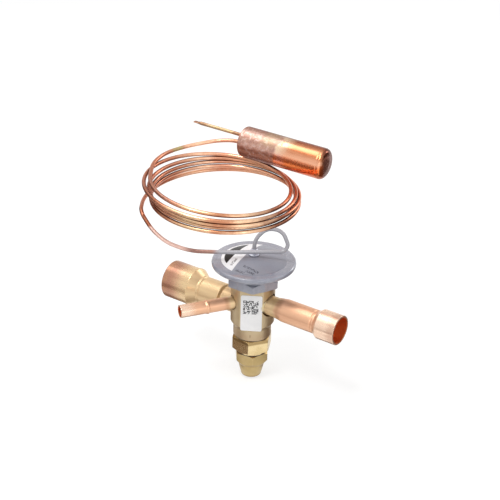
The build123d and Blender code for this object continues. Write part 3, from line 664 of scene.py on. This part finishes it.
def domeLabel(name, look):
    f = Finish(name)
    soft, x = look["soft"], f.x - stemX
    across = x + f.y * look["bandLean"]
    ragged = across + (f.noise(0.8, 2.0) - 0.5) * 0.15
    band = ragged.step(look["bandFrom"] - soft, look["bandFrom"] + soft) \
        * ragged.below(look["bandTo"] - soft, look["bandTo"] + soft)
    beyond = across.below(look["bandFrom"] - soft, look["bandFrom"] + soft)
    rim = f.fromStem().step(look["arcFrom"] - soft, look["arcFrom"] + soft)
    arc, field = beyond * rim, beyond * (1 - rim)
    scuff = f.noise(1.3, 4.0, 0.7).step(0.45, 0.7)
    # worn printing: short rows of broken specks, no letters
    speck = f.noise(1.5, 2.0, 0.6, stretch=(1.0, 0.8, 0.6)).step(0.46, 0.50)
    rows = [(f.y - along).size().below(0.7, 0.95) * x.step(first, first + 0.3)
            * x.below(last - 0.3, last) for along, first, last in look["rows"]]
    printed = rows[0]
    for row in rows[1:]:
        printed = printed.most(row)
    colour = f.blend(scuff * 0.2, look["plain"], shaded(look["plain"], 0.75))
    colour = f.blend(printed * speck * 0.85, colour, look["ink"])
    colour = f.blend(field * (1.0 - scuff * 0.04), colour, look["black"])
    colour = f.blend(band.most(arc) * (0.97 - scuff * 0.12), colour, look["white"])
    rowX, rowY = look["bandRow"]
    mark = band * speck * (across - rowX).size().below(0.8, 1.1) \
        * (f.y - rowY).size().below(3.0, 4.0)
    colour = f.blend(mark * 0.65, colour, look["black"])
    rough = look["rough"] + (scuff - 0.5) * 0.1
    return f.surface(colour, rough, field, f.bump(f.noise(5.0, 2.0), 0.000006),
                     **{"Coat Weight": look["gloss"]})


inkLook = {"tone": (0.03, 0.03, 0.035), "patches": 2.2, "rough": 0.42}


def ink(name, look):
    f = Finish(name)
    patchy = f.noise(look["patches"], 3.0, 0.6)
    faded = tuple(c * 3 + 0.04 for c in look["tone"])
    colour = f.blend(patchy.step(0.35, 0.75) * 0.5, look["tone"], faded)
    rough = (look["rough"] + (patchy - 0.5) * 0.1).clip()
    return f.surface(colour, rough, 0.0, f.bump(patchy, 0.000003))


steelLook = {"tone": (0.56, 0.55, 0.53), "worn": (0.8, 0.79, 0.77), "rough": 0.3, "turned": 14.0}
springLook = {"tone": (0.50, 0.50, 0.52), "worn": (0.8, 0.79, 0.77), "rough": 0.25}


def steel(name, look):
    f = Finish(name)
    cloud = f.noise(0.5, 3.0)
    fine = f.noise(8.0, 3.0)
    rounded = f.softEdge(0.0001)
    colour = f.blend(cloud.step(0.3, 0.7) * 0.5, look["tone"], shaded(look["tone"], 0.7))
    # edges lighter: wear and a painted edge highlight
    colour = f.blend(f.edge(rounded) * 0.5, colour, look["worn"])
    height = fine
    if "turned" in look:  # fine rings left by the lathe
        height = fine * 0.3 + (f.z * look["turned"]).sine()
    rough = (look["rough"] + (fine - 0.5) * 0.15).clip()
    return f.surface(colour, rough, 1.0, f.bump(height, 0.00002, rounded))


rubberLook = {"tone": (0.035, 0.035, 0.038), "rough": 0.55}


def rubber(name, look):
    f = Finish(name)
    dust = f.noise(2.0, 4.0, 0.7)
    dusty = tuple(c * 2.2 + 0.02 for c in look["tone"])
    colour = f.blend(dust.step(0.45, 0.8) * 0.5, look["tone"], dusty)
    rough = (look["rough"] + (dust - 0.5) * 0.2).clip()
    normal = f.bump(f.noise(6.0, 3.0), 0.00002, f.softEdge(0.0001))
    return f.surface(colour, rough, 0.0, normal)


def dress(node, material):
    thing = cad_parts[node]
    if not thing.material_slots:
        thing.data.materials.append(material)
    for slot in thing.material_slots:
        slot.material = material


bulbSkin = bulbCopper("copper_bulb", bulbLook)
ferrulePaint = paint("paint_ferrule", paintLook, paintLook["ferrulePaintedLight"])
dressed = {
    "valve_body": brass("brass_body", brassLook, marks=markPlan),
    "bottom_housing": brass("brass_housing", nutLook, threadPlan),
    "seal_cap": brass("brass_cap", capLook),
    "packing_gland": brass("brass_gland", capLook),
    "capillary_tube": capillary("copper_capillary", capillaryLook),
    "bulb_shell": bulbSkin,
    "bulb_end_plug": bulbSkin,
    "charging_tube": chargingTube("copper_charging_tube", chargingLook),
    "element_upper_shell": paint("paint_upper", paintLook),
    "element_lower_shell": paint("paint_lower", paintLook, paintLook["lowerPaintedLight"]),
    "capillary_ferrule": ferrulePaint,
    "body_label": bodyLabel("label_body", labelLook),
    "dome_label": domeLabel("label_dome", domeLook),
}
for node, plan in fittings.items():
    dressed[node] = copperFitting("copper_" + node, copperLook, plan)
inner = [  # pieces that the body hides
    (steel("steel_turned", steelLook),
     ("diaphragm", "buffer_plate", "push_rod_a", "push_rod_b", "port_insert", "valve_pin",
      "pin_carrier", "adjusting_stem")),
    (steel("steel_spring", springLook), ("superheat_spring", "spring_guide")),
    (rubber("rubber_black", rubberLook),
     ("element_gasket", "rod_seal_a", "rod_seal_b", "stem_packing", "housing_gasket",
      "cap_gasket")),
]
for material, nodes in inner:
    for node in nodes:
        dressed[node] = material
for node, material in dressed.items():
    dress(node, material)
print("finishes on", len(dressed), "of", len(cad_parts), "nodes")

codePlan = {  # code square on the label, in metres
    "cell": 0.00054, "cells": 16, "keep": 0.55, "seed": 7,
    "bearing": 300.0, "flat": 0.01164, "proud": 0.00001, "sideways": -0.0004, "up": 0.0005,
}


class Tree:  # a geometry tree with named inputs
    def __init__(self, name, sizes):
        self.tree = bpy.data.node_groups.new(name, "GeometryNodeTree")
        self.sockets = {}
        for label, kind in sizes.items():
            item = self.tree.interface.new_socket(label, in_out="INPUT", socket_type=kind)
            self.sockets[label] = item.identifier
        self.tree.interface.new_socket("Mesh", in_out="OUTPUT", socket_type="NodeSocketGeometry")
        self.given = self.tree.nodes.new("NodeGroupInput").outputs
        self.end = self.tree.nodes.new("NodeGroupOutput")

    def add(self, kind, values, **settings):
        node = self.tree.nodes.new(kind)
        for key, value in settings.items():
            setattr(node, key, value)
        for key, value in values.items():
            if isinstance(value, bpy.types.NodeSocket):
                self.tree.links.new(value, node.inputs[key])
            else:
                node.inputs[key].default_value = value
        return node.outputs

    def finish(self, shape, material):  # instances made real, then their material
        real = self.add("GeometryNodeRealizeInstances", {"Geometry": shape})
        done = self.add("GeometryNodeSetMaterial", {"Geometry": real[0], "Material": material})
        self.tree.links.new(done[0], self.end.inputs[0])

    def plain(self, name, values, body, slotName):  # runs the tree and keeps a plain mesh
        holder = bpy.data.objects.new(name + "_maker", bpy.data.meshes.new(name + "_maker"))
        bpy.context.collection.objects.link(holder)
        modifier = holder.modifiers.new("make", "NODES")
        modifier.node_group = self.tree
        for label, value in values.items():
            modifier[self.sockets[label]] = value
        seen = holder.evaluated_get(bpy.context.evaluated_depsgraph_get())
        mesh = bpy.data.meshes.new_from_object(seen)
        mesh.materials.pop(index=0)  # the holder's empty slot
        holder.modifiers.remove(modifier)
        bpy.data.objects.remove(holder)
        piece = bpy.data.objects.new(name, mesh)
        bpy.context.collection.objects.link(piece)
        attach(piece, body)
        return piece


def codeSquare(plan, material):
    tree = Tree("code_square", {"Cell": "NodeSocketFloat", "Cells": "NodeSocketInt",
                                "Keep": "NodeSocketFloat", "Seed": "NodeSocketInt",
                                "Ink": "NodeSocketMaterial"})
    given = tree.given
    wide = tree.add("ShaderNodeMath", {0: given["Cell"], 1: given["Cells"]}, operation="MULTIPLY")
    grid = tree.add("GeometryNodeMeshGrid", {"Size X": wide[0], "Size Y": wide[0],
                                             "Vertices X": given["Cells"],
                                             "Vertices Y": given["Cells"]})
    points = tree.add("GeometryNodeMeshToPoints", {"Mesh": grid[0]})
    chance = tree.add("FunctionNodeRandomValue",
                      {"Probability": given["Keep"], "Seed": given["Seed"]}, data_type="BOOLEAN")
    chosen = [o for o in chance if o.type == "BOOLEAN"][0]
    square = tree.add("GeometryNodeMeshGrid", {"Size X": given["Cell"], "Size Y": given["Cell"],
                                               "Vertices X": 2, "Vertices Y": 2})
    laid = tree.add("GeometryNodeInstanceOnPoints",
                    {"Points": points[0], "Selection": chosen, "Instance": square[0]})
    tree.finish(laid[0], given["Ink"])
    sizes = {"Cell": plan["cell"], "Cells": plan["cells"], "Keep": plan["keep"],
             "Seed": plan["seed"], "Ink": material}
    piece = tree.plain("label_code", sizes, "valve", "body_label")
    turn = math.radians(plan["bearing"])
    out = Vector((math.cos(turn), math.sin(turn), 0))
    side = Vector((-math.sin(turn), math.cos(turn), 0))
    place = Vector((stemX / 1000, 0, plan["up"])) + out * (plan["flat"] + plan["proud"]) \
        + side * plan["sideways"]
    piece.data.transform(Matrix((side, Vector((0, 0, 1)), out)).transposed().to_4x4())
    piece.data.transform(Matrix.Translation(place))


codeSquare(codePlan, ink("ink_code", inkLook))
print("code square printed")

brazeLook = {"silver": (0.62, 0.52, 0.33), "gold": (0.72, 0.55, 0.26), "fluxAndShade": (0.20, 0.11, 0.06)}
solderLook = {"silver": (0.66, 0.52, 0.44), "gold": (0.52, 0.30, 0.20), "fluxAndShade": (0.16, 0.06, 0.04)}
# each fillet, in mm: centre, axis, inner and outer radius, base and top along the axis
brazePlan = {
    "braze_inlet": ((stemX, 0, 0), (1, 0, 0), 6.12, 7.15, 10.85, 12.3),
    "braze_outlet": ((stemX, 0, layout["outletZ"]), (-1, 0, 0), 7.02, 7.85, 11.0, 12.2),
    "braze_equalizer": ((stemX, 0, 0), sideways, 3.99, 4.42, 11.4, 12.6),
}
solderPlan = {
    "places": {"solder_capillary": (-1.6, 2.1), "solder_charging": (3.4, 2.0)},  # lift, outer radius
    "inner": 0.9, "base": -0.3, "top": 1.3, "sunk": 0.02, "uneven": 0.3,
}
ferruleFillet = ((stemX, 0, 0), (0, 0, 1), 3.1, 4.7, 28.3, 30.4)
ferruleUneven = 0.12
filletShape = [  # share of the width, share of the height: high at the tube, low at the wall
    (0.0, 0.0), (0.0, 1.0), (0.06, 0.80), (0.2, 0.5), (0.45, 0.26), (0.75, 0.16),
    (1.0, 0.22), (1.0, 0.0),
]


def brazeMetal(name, look):
    f = Finish(name)
    pool = f.noise(0.7, 3.0, 0.6, 0.5)
    fine = f.noise(4.0, 3.0)
    colour = f.blend(pool.step(0.35, 0.65), look["silver"], look["gold"])
    colour = f.blend(fine.step(0.62, 0.78) * 0.5, colour, look["fluxAndShade"])
    # painted shade in the fillet's corners
    colour = f.blend(f.crevice(0.001) * 0.7, colour, look["fluxAndShade"])
    rough = (0.34 + (pool - 0.5) * 0.2).clip()
    return f.surface(colour, rough, 1.0, f.bump(pool, 0.00008))


def brazeRing(name, centre, along, inner, outer, low, high, material, uneven=0.25,
              slotName="valve_body"):
    around, count, chance = 72, len(filletShape), random.Random(name)
    waves = [(chance.uniform(0, 6.28), chance.choice((2, 3, 5, 7))) for _ in range(3)]
    axis = Vector(along).normalized()
    side = axis.cross(Vector((0, 0, 1)) if abs(axis.z) < 0.9 else Vector((1, 0, 0))).normalized()
    other = axis.cross(side)
    points, faces = [], []
    for k in range(around):
        angle = 2 * math.pi * k / around
        swell = 1 + uneven * sum(math.sin(angle * n + p) for p, n in waves) / 3
        for wide, tall in filletShape:
            radius = (inner + (outer - inner) * wide) / 1000
            rise = (low + (high - low) * tall * (swell if tall else 1)) / 1000
            points.append(Vector(centre) / 1000 + axis * rise
                          + (side * math.cos(angle) + other * math.sin(angle)) * radius)
        here, ahead = k * count, (k + 1) % around * count
        for m in range(count):
            n = (m + 1) % count
            faces.append((here + m, here + n, ahead + n, ahead + m))
    ring = meshObject(name, points, faces, material)
    shell = bmesh.new()
    shell.from_mesh(ring.data)
    bmesh.ops.recalc_face_normals(shell, faces=shell.faces)
    shell.to_mesh(ring.data)
    shell.free()
    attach(ring, "valve")


brazing = brazeMetal("braze_metal", brazeLook)
for name, sizes in brazePlan.items():
    brazeRing(name, *sizes, brazing)
solder = brazeMetal("solder_metal", solderLook)
for name, (lift, outer) in solderPlan["places"].items():
    centre = (layout["bulbStart"] - solderPlan["sunk"], layout["bulbY"], layout["bulbZ"] + lift)
    brazeRing(name, centre, (-1, 0, 0), solderPlan["inner"], outer, solderPlan["base"],
              solderPlan["top"], solder, solderPlan["uneven"], slotName="bulb_end_plug")
brazeRing("fillet_ferrule", *ferruleFillet, ferrulePaint, ferruleUneven,
          slotName="capillary_ferrule")
print("joints brazed")
